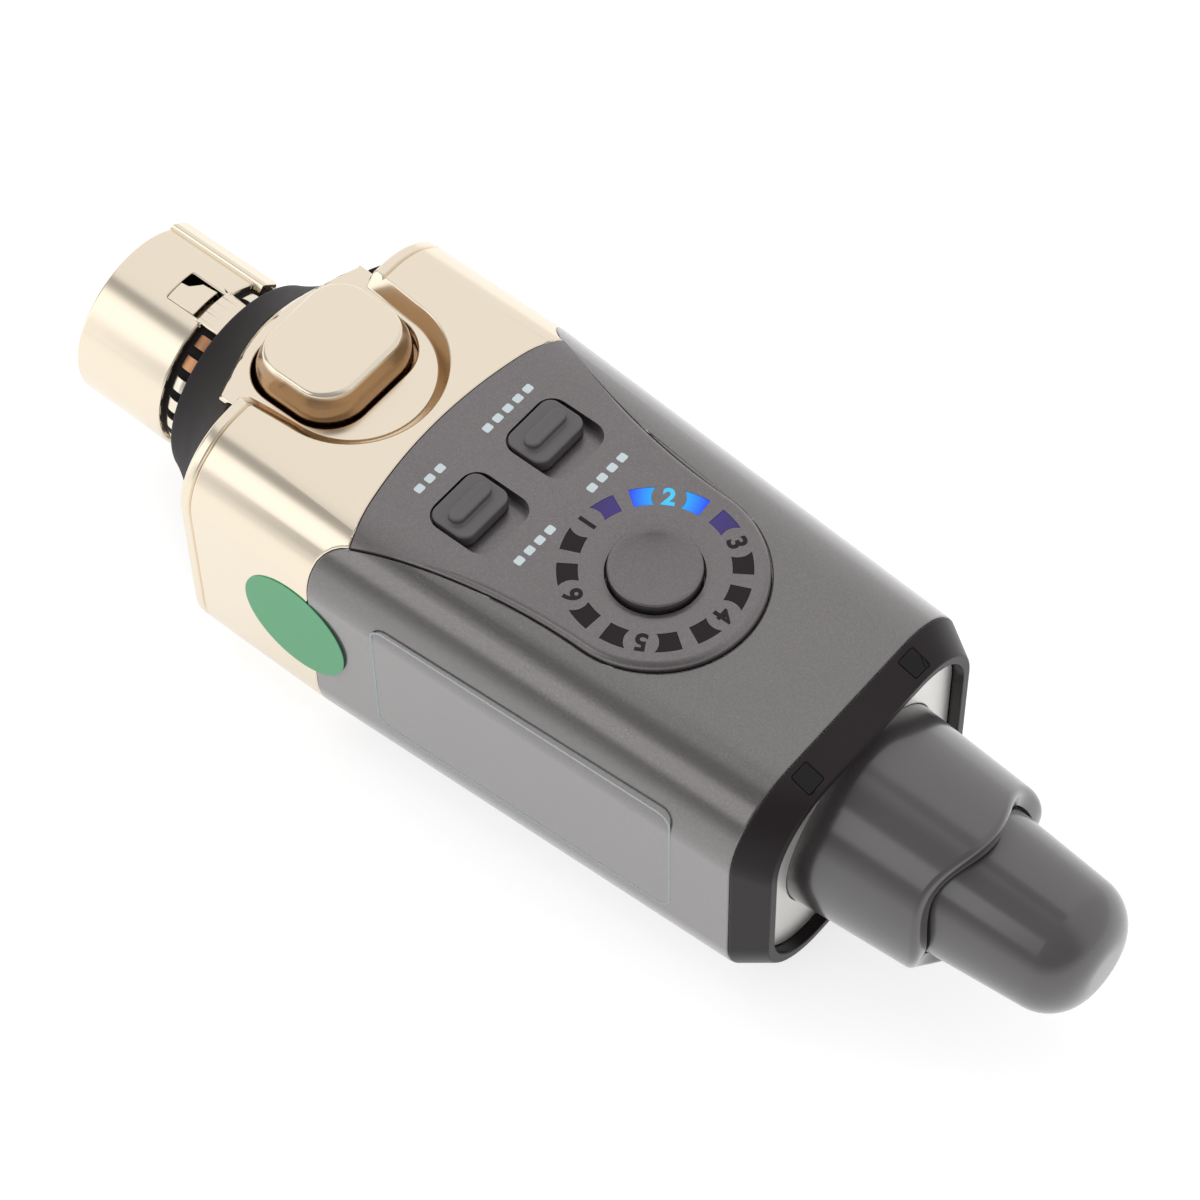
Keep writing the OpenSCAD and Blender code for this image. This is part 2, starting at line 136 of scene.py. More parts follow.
label_side, far_side, below, roof_glow, overhead, panel_glow = 0.26, 0.78, 0.80, 0.90, 0.20, 1.32
sides = layer(label_side, far_side, soft_edge((0, 1, 0), -0.25, 0.25))
sides = layer(sides, below, soft_edge((0, 0, -1), -0.30, 0.0))
roof = times(soft_edge((-0.95, 0.3, 0), 0.02, 0.25), soft_edge((0, 0.9, 0.44), 0.14, 0.24))
walls = layer(sides, roof_glow, roof)
walls = layer(walls, overhead, soft_edge((-0.066, 0.081, 0.995), 0.984, 0.997))
under_roof = soft_edge((0, 0, -1), -0.80, -0.73)
wide = times(soft_edge((-0.887, 0.462, 0), -0.014, 0.020), soft_edge((0.423, -0.906, 0), -0.06, 0.10))
tall = times(soft_edge((0, 0, 1), -0.06, 0.04), under_roof)
walls = layer(walls, panel_glow, times(wide, tall))
wide = times(soft_edge((-0.996, 0.087, 0), -0.02, 0.03), soft_edge((0.743, -0.669, 0), -0.02, 0.08))
tall = times(soft_edge((0, 0, 1), 0.37, 0.46), under_roof)
walls = layer(walls, panel_glow, times(wide, tall))
backdrop = add("ShaderNodeMix", data_type="RGBA", B=(1, 1, 1, 1))
join(white_background(add, join, 0.15, 0.5), backdrop.inputs["Factor"])
join(walls, backdrop.inputs["A"])
glow = add("ShaderNodeBackground", Strength=1.0)
join(backdrop.outputs["Result"], glow.inputs["Color"])
join(glow.outputs[0], add("ShaderNodeOutputWorld").inputs[0])

lamp = bpy.data.objects.new("soft_lamp", bpy.data.lights.new("soft_lamp", "AREA"))
lamp.data.energy, lamp.data.size = 1.8, 0.5
lamp.location = (-0.25, 0.15, 0.65)
lamp.rotation_euler = (Vector((0.06, 0, 0)) - lamp.location).to_track_quat("-Z", "Y").to_euler()
lamp.visible_glossy = False
scene.collection.objects.link(lamp)

low_z = -15.2
table = bmesh.new()
bmesh.ops.create_grid(table, x_segments=1, y_segments=1, size=3)
bmesh.ops.translate(table, verts=table.verts, vec=(0.06, 0, low_z / 1000))
table_mesh = bpy.data.meshes.new("table")
table.to_mesh(table_mesh)
table_top = bpy.data.objects.new("table", table_mesh)
scene.collection.objects.link(table_top)
white_table = bpy.data.materials.new("white_table")
add, join = tree(white_table)
paper = add("ShaderNodeBsdfDiffuse", Color=(0.42, 0.42, 0.42, 1))
lift = add("ShaderNodeEmission", Color=(0.74, 0.74, 0.74, 1))
join(white_background(add, join, 0.87, 0), lift.inputs["Strength"])
both = add("ShaderNodeAddShader")
join(paper.outputs[0], both.inputs[0])
join(lift.outputs[0], both.inputs[1])
join(both.outputs[0], add("ShaderNodeOutputMaterial").inputs[0])
table_mesh.materials.append(white_table)

# ---------------------------------------------------------------- connector nose
# The nose is a drawn brass tube with a satin champagne nickel finish. It has a
# keying rib on its far side, and a window on top for the tongue of the latch.


def group_sockets(group, inputs, outputs):
    """Gives a node group its sockets, and returns its input and output nodes."""
    for name, kind, value in inputs:
        socket = group.interface.new_socket(name, in_out="INPUT", socket_type=kind)
        if value is not None:
            socket.default_value = value
    for name, kind in outputs:
        group.interface.new_socket(name, in_out="OUTPUT", socket_type=kind)
    return group.nodes.new("NodeGroupInput"), group.nodes.new("NodeGroupOutput")


# Fine blasted grain with soft cloudy wear: height for bump, and roughness that wanders
GRAIN = bpy.data.node_groups.new("satin_grain", "ShaderNodeTree")
given, made = group_sockets(
    GRAIN,
    [
        ("Scale", "NodeSocketFloat", 9000.0), ("Roughness", "NodeSocketFloat", 0.3),
        ("Wander", "NodeSocketFloat", 0.06),
    ],
    [("Height", "NodeSocketFloat"), ("Roughness", "NodeSocketFloat"), ("Cloud", "NodeSocketFloat")],
)
add, join = tools(GRAIN)
place = add("ShaderNodeTexCoord")
fine = add("ShaderNodeTexNoise", Detail=2.0, Roughness=0.6)
join(place.outputs["Object"], fine.inputs["Vector"])
join(given.outputs["Scale"], fine.inputs["Scale"])
cloud = add("ShaderNodeTexNoise", Scale=160.0, Detail=3.0, Roughness=0.55)
join(place.outputs["Object"], cloud.inputs["Vector"])
off = add("ShaderNodeMath", operation="SUBTRACT")
off.inputs[1].default_value = 0.5
join(cloud.outputs["Fac"], off.inputs[0])
wander = add("ShaderNodeMath", operation="MULTIPLY_ADD")
join(off.outputs[0], wander.inputs[0])
join(given.outputs["Wander"], wander.inputs[1])
join(given.outputs["Roughness"], wander.inputs[2])
join(fine.outputs["Fac"], made.inputs["Height"])
join(wander.outputs[0], made.inputs["Roughness"])
join(cloud.outputs["Fac"], made.inputs["Cloud"])


def grained(name, colour, shade, metal, roughness, wander, scale, depth, **constants):
    """A surface with fine grain. shade is the darker colour that clouds mix in."""
    finish = bpy.data.materials.new(name)
    add, join = tree(finish)
    grain = add("ShaderNodeGroup", node_tree=GRAIN, Scale=scale, Roughness=roughness, Wander=wander)
    tone = add("ShaderNodeMix", data_type="RGBA", A=(*shade, 1), B=(*colour, 1))
    join(grain.outputs["Cloud"], tone.inputs["Factor"])
    bump = add("ShaderNodeBump", Strength=1.0, Distance=depth)
    join(grain.outputs["Height"], bump.inputs["Height"])
    surface = add("ShaderNodeBsdfPrincipled", Metallic=metal, **constants)
    join(tone.outputs["Result"], surface.inputs["Base Color"])
    join(grain.outputs["Roughness"], surface.inputs["Roughness"])
    join(bump.outputs["Normal"], surface.inputs["Normal"])
    join(surface.outputs[0], add("ShaderNodeOutputMaterial").inputs[0])
    return finish


satin_plating = ((0.91, 0.81, 0.66), (0.895, 0.79, 0.64), 1.0, 0.18, 0.03, 9000.0, 0.0000015)
nickel = grained("champagne_nickel", *satin_plating)


def soften(shape, geom, r, steps, affect="EDGES"):
    """Rounds edges, or the corners of a flat face."""
    bmesh.ops.bevel(
        shape, geom=geom, offset=r, offset_type="OFFSET", affect=affect,
        segments=steps, profile=0.5, material=-1,
    )


def move(shape, *way):
    """Shifts a shape by x, y and z."""
    bmesh.ops.translate(shape, verts=shape.verts, vec=way)


def swing(shape, degrees, axis):
    """Turns a shape about one of the axes of the frame."""
    matrix = Matrix.Rotation(math.radians(degrees), 3, axis)
    bmesh.ops.rotate(shape, verts=shape.verts, cent=(0, 0, 0), matrix=matrix)


def outline(points):
    """A flat face through (u, v) points. A third number rounds that corner, a fourth says how finely."""
    shape = bmesh.new()
    corners = [shape.verts.new((p[0], p[1], 0)) for p in points]
    shape.faces.new(corners)
    for corner, p in zip(corners, points):
        if len(p) > 2:
            soften(shape, [corner], p[2], p[3] if len(p) > 3 else 6, "VERTICES")
    return shape


def prism(points, low, high, axis="Z"):
    """A solid over an outline. Along Z the outline is (x, y), along X it is (y, z), along Y it is (z, x)."""
    shape = outline(points)
    move(shape, 0, 0, low)
    grown = bmesh.ops.extrude_face_region(shape, geom=shape.faces[:])
    verts = [v for v in grown["geom"] if isinstance(v, bmesh.types.BMVert)]
    bmesh.ops.translate(shape, verts=verts, vec=(0, 0, high - low))
    for _ in range({"Z": 0, "X": 1, "Y": 2}[axis]):
        for v in shape.verts:
            v.co = (v.co.z, v.co.x, v.co.y)
    bmesh.ops.recalc_face_normals(shape, faces=shape.faces)
    return shape


def rectangle(low, high, *rounding):
    """The corners of a rectangle, with the same rounding at each: a radius, and how finely."""
    return [(u, v, *rounding) for u, v in (low, (high[0], low[1]), high, (low[0], high[1]))]


def box(low, high, r=0.0):
    """A block between two opposite corners, with its upright edges rounded."""
    rounding = (r,) if r else ()
    return prism(rectangle(low[:2], high[:2], *rounding), low[2], high[2])


# The radius that stands for the axis itself in a turned outline
on_axis = 0.001


def turned(points, steps=128, angle=360.0, start=0.0):
    """An outline of (x, radius) points turned about the X axis, from the top towards the label side."""
    shape = outline(points)
    for v in shape.verts:
        v.co = (v.co.x, 0, v.co.y)
    whole = angle == 360.0
    if whole:
        bmesh.ops.delete(shape, geom=shape.faces[:], context="FACES_ONLY")
    swing(shape, start, "X")
    bmesh.ops.spin(
        shape, geom=shape.verts[:] + shape.edges[:] + shape.faces[:], cent=(0, 0, 0), axis=(1, 0, 0),
        angle=math.radians(angle), steps=steps, use_merge=whole, use_duplicate=False,
    )
    bmesh.ops.remove_doubles(shape, verts=shape.verts, dist=1e-4)
    bmesh.ops.dissolve_degenerate(shape, dist=1e-5, edges=shape.edges)
    bmesh.ops.recalc_face_normals(shape, faces=shape.faces)
    return shape


def carved(shape, tool, how="DIFFERENCE"):
    """shape with tool cut from it, joined to it, or shared with it. Both are used up."""
    pair = []
    for source in (shape, tool):
        mesh = bpy.data.meshes.new("carving")
        source.to_mesh(mesh)
        source.free()
        pair.append(bpy.data.objects.new("carving", mesh))
        scene.collection.objects.link(pair[-1])
    cut = pair[0].modifiers.new("cut", "BOOLEAN")
    cut.operation, cut.solver, cut.object = how, "EXACT", pair[1]
    result = bmesh.new()
    result.from_object(pair[0], bpy.context.evaluated_depsgraph_get())
    for done in pair:
        mesh = done.data
        bpy.data.objects.remove(done)
        bpy.data.meshes.remove(mesh)
    bmesh.ops.remove_doubles(result, verts=result.verts, dist=0.003)
    bmesh.ops.dissolve_degenerate(result, dist=0.003, edges=result.edges)
    return result


def gathered(shapes):
    """Several shapes as one. They are used up."""
    holder = bpy.data.meshes.new("holder")
    whole = bmesh.new()
    for shape in shapes:
        shape.to_mesh(holder)
        whole.from_mesh(holder)
        shape.free()
    bpy.data.meshes.remove(holder)
    return whole


def piece(name, shape, body, finish, stands_for=(), bevel=0.0, steps=2, limit=30.0):
    """Makes a shape in millimetres into a piece of the model, with its edges broken by bevel."""
    bmesh.ops.scale(shape, verts=shape.verts, vec=(0.001, 0.001, 0.001))
    for face in shape.faces:
        face.smooth = True
    mesh = bpy.data.meshes.new(name)
    shape.to_mesh(mesh)
    shape.free()
    made = bpy.data.objects.new(name, mesh)
    scene.collection.objects.link(made)
    mesh.materials.append(finish)
    if bevel:
        edges = made.modifiers.new("edges", "BEVEL")
        edges.width, edges.segments, edges.limit_method = bevel / 1000, steps, "ANGLE"
        edges.angle_limit, edges.use_clamp_overlap = math.radians(limit), False
        edges.miter_outer = "MITER_ARC"
    mesh.set_sharp_from_angle(angle=math.radians(40))
    shading = made.modifiers.new("shading", "WEIGHTED_NORMAL")
    shading.keep_sharp, shading.weight = True, 60
    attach(made, body)
    if stands_for:
        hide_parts(*stands_for)


nose_r, nose_end, neck_r, neck_end, bore_r = 9.4, 11.1, 8.6, 25.2, 8.2
key_angle = 42
shell = turned([
    (0, bore_r, 0.15, 3), (0, nose_r, 0.4, 5), (nose_end, nose_r, 0.3, 4),
    (nose_end, neck_r), (neck_end, neck_r), (neck_end, bore_r),
])
rib = box((0.05, -1.2, 8.7), (12.2, 1.2, 9.95))
soften(rib, [e for e in rib.edges if min(v.co.z for v in e.verts) > 9], 0.4, 4)
swing(rib, -key_angle, "X")
shell = carved(shell, box((6.35, -1.95, 5), (10.6, 1.8, 12), 0.2))
shell = carved(shell, rib, "UNION")
bridge = carved(
    turned(
        [(10.55, bore_r), (10.55, nose_r), (13.9, nose_r, 0.2, 3), (13.9, bore_r)], steps=24, angle=28,
        start=-14,
    ),
    box((10, -2.2, 5), (15, 2.2, 12)), "INTERSECT",
)
shell = carved(shell, bridge, "UNION")
piece("connector_nose_shell", shell, "casing", nickel, ["connector_shell"], bevel=0.12, limit=40)

# ---------------------------------------------------------------- latch tongue
# The tongue of the latch fills the window, level with the nose. Its front far
# corner is cut away. It is stamped steel, plated like the nose, and its arm
# reaches back to a hub on the pivot pin.

tongue_top, pivot_x, pivot_z = 9.36, 36, 7.1
tongue = carved(
    turned([(6.4, 7.0), (6.4, tongue_top), (9.95, tongue_top), (9.95, 7.0)], steps=40, angle=50, start=-25),
    prism([(6.4, -1.92), (9.9, -1.92), (9.9, 1.6), (8.2, 1.45), (7.3, 0.35), (6.4, 0.25)], 6.6, 10),
    "INTERSECT",
)
arm = box((8.0, -1.4, 6.6), (pivot_x, 1.4, 7.6))
tongue = carved(tongue, arm, "UNION")
hub = prism([(5.2, pivot_x), (pivot_z, 34.1), (9.0, pivot_x), (pivot_z, 37.9)], -2.4, 2.4, "Y")
soften(hub, [e for e in hub.edges if abs(e.verts[0].co.y - e.verts[1].co.y) > 1], 0.9, 6)
tongue = carved(tongue, hub, "UNION")
tongue = carved(tongue, prism([(7.9, pivot_x), (pivot_z, 36.8), (6.3, pivot_x), (pivot_z, 35.2)], -3, 3, "Y"))
piece("latch_tongue", tongue, "latch_lever", nickel, ["latch_lever"], bevel=0.1, limit=35)

# ---------------------------------------------------------------- ground spring
# A ring of sprung fingers on a black carrier sits behind the nose and earths
# the shell. It is pressed from thin bronze strip, with every finger bowed
# outwards, and two fingers are worn down to copper.

bronze = grained(
    "ground_spring_bronze", (0.90, 0.85, 0.74), (0.84, 0.77, 0.64), 1.0, 0.22, 0.12, 5000.0, 0.000004,
)
copper = grained("worn_copper", (0.66, 0.36, 0.20), (0.50, 0.24, 0.12), 1.0, 0.35, 0.12, 5000.0, 0.000004)
carrier_black = grained(
    "carrier_black", (0.010, 0.008, 0.009), (0.007, 0.006, 0.006), 0.0, 0.6, 0.1, 4000.0, 0.000004,
    Specular_IOR_Level=0.15,
)
carrier = turned([(11.1, 8.62), (11.1, 8.78), (13.95, 8.78), (13.95, 8.62)], steps=96)
piece("spring_carrier", carrier, "casing", carrier_black)
finger_profile = [
    (11.75, 8.8), (11.75, 8.95), (12.1, 9.16), (12.6, 9.25), (13.2, 9.2), (13.9, 8.95), (13.9, 8.8),
]
finger_pitch, finger_width = 15, 8.5


def finger_angle(index):
    """Where the middle of a finger stands, in degrees from the top."""
    return (index + 0.5) * finger_pitch


def finger_ring(name, finish, indices, stands_for=()):
    """The sprung fingers with these places in the ring, as one piece."""
    starts = [-finger_angle(index) - finger_width / 2 for index in indices]
    fingers = [turned(finger_profile, steps=6, angle=finger_width, start=start) for start in starts]
    piece(name, gathered(fingers), "casing", finish, stands_for)


worn = (22, 21)
bright = [i for i in range(1, 23) if abs(finger_angle(i) - key_angle) > 9 and i not in worn]
finger_ring("ground_spring_fingers", bronze, bright, ["ground_spring"])
finger_ring("worn_spring_fingers", copper, worn)

# ---------------------------------------------------------------- rubber collar
# A soft black rubber collar flares from the neck out to the lip of the casing
# and seals the connector. It is moulded, with a dry, dusty matt surface.

rubber = grained(
    "collar_rubber", (0.016, 0.012, 0.013), (0.011, 0.008, 0.009), 0.0, 0.6, 0.2, 3500.0, 0.00001,
    Specular_IOR_Level=0.25,
)
half_w, rear_half_w, top_z, rear_top_z, edge_r = 18.9, 16.6, 15.9, 14.6, 8.0
front_x, collar_x, latch_gap, latch_hole = 23.5, 13.8, 0.3, (11.4, 18)
ledge_x, ledge_half_w, ledge_z = 18.3, 10, 13.7


def flared(inner_r, far_x, slope, bend):
    """A hollow flare as a solid, from the collar's front rim to far_x."""
    count, rim_r = 14, 10.7
    runs = [(far_x - collar_x) * i / count for i in range(count + 1)]
    curve = [(collar_x + run, rim_r + slope * run + bend * run**2) for run in runs]
    curve[0] = (*curve[0], 0.35, 4)
    return turned([(collar_x, inner_r), *curve, (far_x, inner_r)])


def section(half, low, high, r, x0, x1, steps=16, inset=0.0):
    """A length of the body's cross-section, or of that shape drawn in all round."""
    half, low, high, r = half - inset, low + inset, high - inset, r - inset
    return prism(
        [(y, z, r, steps) for y, z in ((half, low), (half, high), (-half, high), (-half, low))], x0, x1, "X",
    )


def latch_plan(grow, low, high):
    """The upright solid over the release button's outline, grown all round."""
    x0, x1, y, corner_r = 20.8 - grow, 33.0 + grow, 7.2 + grow, 4.5
    return prism(rectangle((x0, -y), (x1, y), corner_r, 12), low, high)


mould = section(half_w, low_z, top_z, edge_r, 13, 24, inset=1.4)
collar = carved(flared(8.7, 23.4, 0.38, 0.05), mould, "INTERSECT")
notch_half_w, notch_z = ledge_half_w + 0.1, ledge_z - 0.1
collar = carved(collar, box((ledge_x, -notch_half_w, notch_z), (25, notch_half_w, 20)))
collar = carved(collar, latch_plan(latch_gap, *latch_hole))
piece("rubber_collar", collar, "casing", rubber, ["gasket_ring"], bevel=0.12, limit=40)

# ---------------------------------------------------------------- front casing
# The front casing is cast zinc, plated like the nose. A plain bead runs round
# its mouth behind a sharp groove, and a thumb recess is sunk round the button.

arc_r, arc_x, arc_y = 49.0, 42.3, 15.2
bulge_x = arc_x - arc_r + math.sqrt(arc_r**2 - arc_y**2)


def seam_arc(back, ends):
    """The bowed middle of the seam, moved back towards the connector, with ends steps each side."""
    ys = [arc_y * i / 12 for i in range(-ends, ends + 1)]
    return [(bulge_x + arc_r - math.sqrt(arc_r**2 - y * y) - back, y) for y in ys]


def ahead_of_seam(gap):
    """Everything on the connector's side of the seam between the two casings."""
    arc = seam_arc(gap, 12)
    curl = [
        (41.5, 15.6), (40.9, 16.05), (40.35, 16.65), (39.95, 17.3), (39.72, 18.1), (39.6, 19.3), (39.6, 30),
    ]
    corner = [(x - gap, y) for x, y in curl]
    mirrored = [(x, -y) for x, y in reversed(corner)]
    return prism([(0, 30), (0, -30), *mirrored, *arc, *corner], -30, 30)


mouth = section(half_w, low_z, top_z, edge_r, front_x, 24.75)
soften(mouth, [e for e in mouth.edges if max(v.co.x for v in e.verts) < front_x + 0.01], 0.5, 5)
casing = carved(mouth, section(half_w, low_z, top_z, edge_r, 24.6, 25.2, inset=0.22), "UNION")
casing = carved(casing, section(half_w, low_z, top_z, edge_r, 24.93, 46), "UNION")
casing = carved(casing, ahead_of_seam(0.1), "INTERSECT")
wall, recess_z, ear_y, ear_half_w, neck_hole_r = 1.6, 14.5, 3.9, 0.9, 8.65
casing = carved(casing, section(half_w - wall, low_z + wall, 13.3, edge_r - wall, 25, 48, steps=10))
ledge_block = box((ledge_x, -ledge_half_w, ledge_z), (24.6, ledge_half_w, recess_z))
casing = carved(casing, carved(flared(1.0, 24.5, 0.25, 0.084), ledge_block, "INTERSECT"), "UNION")
shelf = prism(
    [(27, -6), (34, -6), (34, -18.1), (38, -18.1), (38, 18.1), (34, 18.1), (34, 6), (27, 6)], 1.6, 2.6,
)
casing = carved(casing, shelf, "UNION")
for y in (-ear_y, ear_y):
    casing = carved(casing, box((34, y - ear_half_w, 2.0), (38, y + ear_half_w, 9.6)), "UNION")
recess_x, floor_r, rim_r = 29.4, 7.9, 9.4
spread, mouth_spread = rim_r / floor_r, 1.14
recess_end = [(recess_x + floor_r, -floor_r, floor_r, 24), (recess_x + floor_r, floor_r, floor_r, 24)]
recess = prism([(15, -floor_r), *recess_end, (15, floor_r)], recess_z, recess_z + 1.6)
for v in recess.verts:
    if v.co.z > recess_z + 1:
        v.co.y *= spread
        if v.co.x > recess_x:
            v.co.x = recess_x + (v.co.x - recess_x) * spread
    if v.co.x < 16:
        v.co.y *= mouth_spread
casing = carved(casing, recess)
casing = carved(casing, box((15, -25, recess_z), (front_x, 25, 20)))
casing = carved(casing, latch_plan(latch_gap, *latch_hole))
neck_hole = [(18, on_axis), (18, neck_hole_r), (25.5, neck_hole_r), (25.5, on_axis)]
casing = carved(casing, turned(neck_hole, steps=96))
piece("front_casing", casing, "casing", nickel, ["front_housing"], bevel=0.16, steps=3, limit=28)

# ---------------------------------------------------------------- release button
# The release button is a solid plated pillow with soft shoulders. It slides
# down in the recess, and its foot is held under the roof of the casing. Its
# sides and lower shoulders carry painted shade: a brown painted into the
# plating below its top, standing for the dark recess they reflect.


def quarter_round(r, steps=6):
    """The steps inward and upward that round a top edge."""
    angles = [math.radians(90 * i / steps) for i in range(steps + 1)]
    return [
        (r * (math.cos(a) - math.cos(b)), r * (math.sin(b) - math.sin(a)))
        for a, b in zip(angles, angles[1:])
    ]


def build_up(shape, steps):
    """Raises the top face of a shape in steps, each (inward, upward)."""
    top = max(shape.faces, key=lambda f: f.calc_center_median().z)
    for inward, rise in steps:
        bmesh.ops.inset_region(
            shape, faces=[top], thickness=inward, depth=rise, use_even_offset=True, use_boundary=True,
        )


button = latch_plan(0, 12.6, 15.0)
leaning_sides, slight_crown = [(0.22, 0.75), (0.27, 0.75), (0.36, 0.75)], [(0.8, 0.04), (1.0, 0.02)]
build_up(button, [*leaning_sides, *quarter_round(0.55), *slight_crown])
flange = box((25.3, -8.6, 12.1), (34.4, 8.6, 12.9), 2)
button = carved(button, flange, "UNION")
button_nickel_painted_shade = grained("button_nickel_painted_shade", *satin_plating)
add, join = tools(button_nickel_painted_shade.node_tree)
surface = next(n for n in button_nickel_painted_shade.node_tree.nodes if n.type == "BSDF_PRINCIPLED")
plated = surface.inputs["Base Color"].links[0].from_socket
# Painted shade: below 17.1 mm the plating colour turns to this brown, a painted reflection of the dark recess
# round the button's sides.
painted_shade_brown = (0.42, 0.27, 0.155, 1)
split = add("ShaderNodeSeparateXYZ")
join(add("ShaderNodeTexCoord").outputs["Object"], split.inputs[0])
height = add("ShaderNodeMapRange", From_Min=0.0171, From_Max=0.0175)
join(split.outputs["Z"], height.inputs["Value"])
tone = add("ShaderNodeMix", data_type="RGBA", A=painted_shade_brown)
join(height.outputs[0], tone.inputs["Factor"])
join(plated, tone.inputs["B"])
join(tone.outputs["Result"], surface.inputs["Base Color"])
piece("release_button", button, "latch_button", button_nickel_painted_shade, ["latch_button"])

# ---------------------------------------------------------------- rear casing
# The rear casing is a die casting sprayed with warm grey metallic paint. It
# narrows towards the antenna, and its roof is cut out for the control panel.

# Flecks of uneven brightness between a dark and a light tone, with height for bump
FLAKE = bpy.data.node_groups.new("metallic_flake", "ShaderNodeTree")
given, made = group_sockets(
    FLAKE,
    [
        ("Scale", "NodeSocketFloat", 7000.0), ("Dark", "NodeSocketColor", None),
        ("Light", "NodeSocketColor", None),
    ],
    [("Color", "NodeSocketColor"), ("Height", "NodeSocketFloat")],
)
add, join = tools(FLAKE)
place = add("ShaderNodeTexCoord")
cells = add("ShaderNodeTexVoronoi", feature="F1")
join(place.outputs["Object"], cells.inputs["Vector"])
join(given.outputs["Scale"], cells.inputs["Scale"])
chance = add("ShaderNodeSeparateColor")
join(cells.outputs["Color"], chance.inputs[0])
speck = add("ShaderNodeValToRGB")
marks = speck.color_ramp.elements
for _ in range(2):
    marks.new(0.5)
for mark, (at, grey) in zip(marks, ((0.0, 0.28), (0.5, 0.42), (0.9, 0.56), (1.0, 0.72))):
    mark.position, mark.color = at, (grey, grey, grey, 1)
join(chance.outputs[0], speck.inputs[0])
patch = add("ShaderNodeTexNoise", Scale=90.0, Detail=2.0)
join(place.outputs["Object"], patch.inputs["Vector"])
blend = add("ShaderNodeMath", operation="MULTIPLY_ADD")
blend.inputs[1].default_value = 0.12
join(patch.outputs["Fac"], blend.inputs[0])
join(speck.outputs[0], blend.inputs[2])
colour = add("ShaderNodeMix", data_type="RGBA")
join(blend.outputs[0], colour.inputs["Factor"])
join(given.outputs["Dark"], colour.inputs["A"])
join(given.outputs["Light"], colour.inputs["B"])
join(colour.outputs["Result"], made.inputs["Color"])
join(chance.outputs[1], made.inputs["Height"])


def flaked(name, dark, light, metal, roughness, scale, depth, **constants):
    """Sprayed metallic paint with fine flakes under a thin clear coat."""
    finish = bpy.data.materials.new(name)
    add, join = tree(finish)
    flake = add("ShaderNodeGroup", node_tree=FLAKE, Scale=scale, Dark=(*dark, 1), Light=(*light, 1))
    bump = add("ShaderNodeBump", Strength=1.0, Distance=depth)
    join(flake.outputs["Height"], bump.inputs["Height"])
    surface = add("ShaderNodeBsdfPrincipled", Metallic=metal, Roughness=roughness, **constants)
    join(flake.outputs["Color"], surface.inputs["Base Color"])
    join(bump.outputs["Normal"], surface.inputs["Normal"])
    join(surface.outputs[0], add("ShaderNodeOutputMaterial").inputs[0])
    return finish


grey_paint = flaked(
    "warm_grey_paint", (0.100, 0.091, 0.092), (0.225, 0.207, 0.205), 0.95, 0.22, 11000.0, 0.000004,
    Coat_Weight=1.0, Coat_Roughness=0.18, Coat_IOR=1.7, Sheen_Weight=1.0, Sheen_Roughness=0.4,
)


def body_taper(x0, first, x1, last, inset=0.0):
    """A length of the body between two cross-sections, each (half width, low, high)."""
    shape = section(*first, edge_r, x0, x1, inset=inset)
    middle = (x0 + x1) / 2
    for v in shape.verts:
        if v.co.x > middle:
            v.co.y += (last[0] - first[0]) * math.copysign(1, v.co.y)
            v.co.z += last[2] - first[2] if v.co.z > 0 else last[1] - first[1]
    return shape


seam_x, band_x, band_end_x = 39.6, 88.0, 91.4
at_seam, at_band, at_end = (half_w, low_z, top_z), (rear_half_w, low_z, rear_top_z), (14.8, -13.9, 13.5)


def rear_form(over=0.0, inset=0.0):
    """The tapered rear body. over carries both ends on, along the same taper."""
    share = over / (band_x - seam_x)
    grow = [(b - a) * share for a, b in zip(at_seam, at_band)]
    first = [a - g for a, g in zip(at_seam, grow)]
    last = [b + g for b, g in zip(at_band, grow)]
    return body_taper(seam_x - over, first, band_x + over, last, inset=inset)


ring_x, panel_end_r, panel_z = 66.0, 10.6, 13.5


def flank(x):
    """The half width of the panel at x."""
    return panel_end_r + (arc_y - panel_end_r) * ((ring_x - x) / (ring_x - arc_x)) ** 1.9


def panel_form(grow, low, high, ahead=0.0):
    """The control panel's teardrop: a bowed front edge, hollow flanks and a round end."""
    xs = [arc_x - ahead + (ring_x - arc_x + ahead) * i / 20 for i in range(21)]
    side = [(x, flank(x) + grow) for x in xs]
    end_r = panel_end_r + grow
    angles = [math.radians(a) for a in range(86, -90, -4)]
    end = [(ring_x + end_r * math.cos(a), end_r * math.sin(a)) for a in angles]
    front = [(x - ahead, y) for x, y in seam_arc(grow, 11)]
    return prism([*side, *end, *[(x, -y) for x, y in reversed(side)], *front], low, high)


rear = rear_form()
rear = carved(rear, rear_form(1.0, wall))
rear = carved(rear, ahead_of_seam(0))
rear = carved(rear, panel_form(0.1, 11, 20))
port_x, port_z, port_half_w, port_half_h = 61.0, 6.0, 4.65, 1.75
port_low = (port_z - port_half_h, port_x - port_half_w)
port_high = (port_z + port_half_h, port_x + port_half_w)
rear = carved(rear, prism(rectangle(port_low, port_high, 1.4, 6), 10, 25, "Y"))
piece(
    "rear_casing", rear, "casing", grey_paint, ["rear_housing"], bevel=0.14, steps=3, limit=28,
)

# ---------------------------------------------------------------- control panel
# The control panel is moulded in grey and painted like the casing. It carries
# two switch wells, a dished bore for the channel button and slots for lenses.

rim_soft = 0.75
panel = panel_form(0, panel_z, top_z - rim_soft, ahead=1.5)
build_up(panel, quarter_round(rim_soft))
panel = carved(panel, section(half_w, low_z, top_z, edge_r, 38, 80), "INTERSECT")
panel = carved(panel, ahead_of_seam(0))


def cone(low_r, high_r, depth, centre, segments=96):
    """An upright round solid."""
    shape = bmesh.new()
    bmesh.ops.create_cone(shape, cap_ends=True, segments=segments, radius1=low_r, radius2=high_r, depth=depth)
    move(shape, *centre)
    return shape


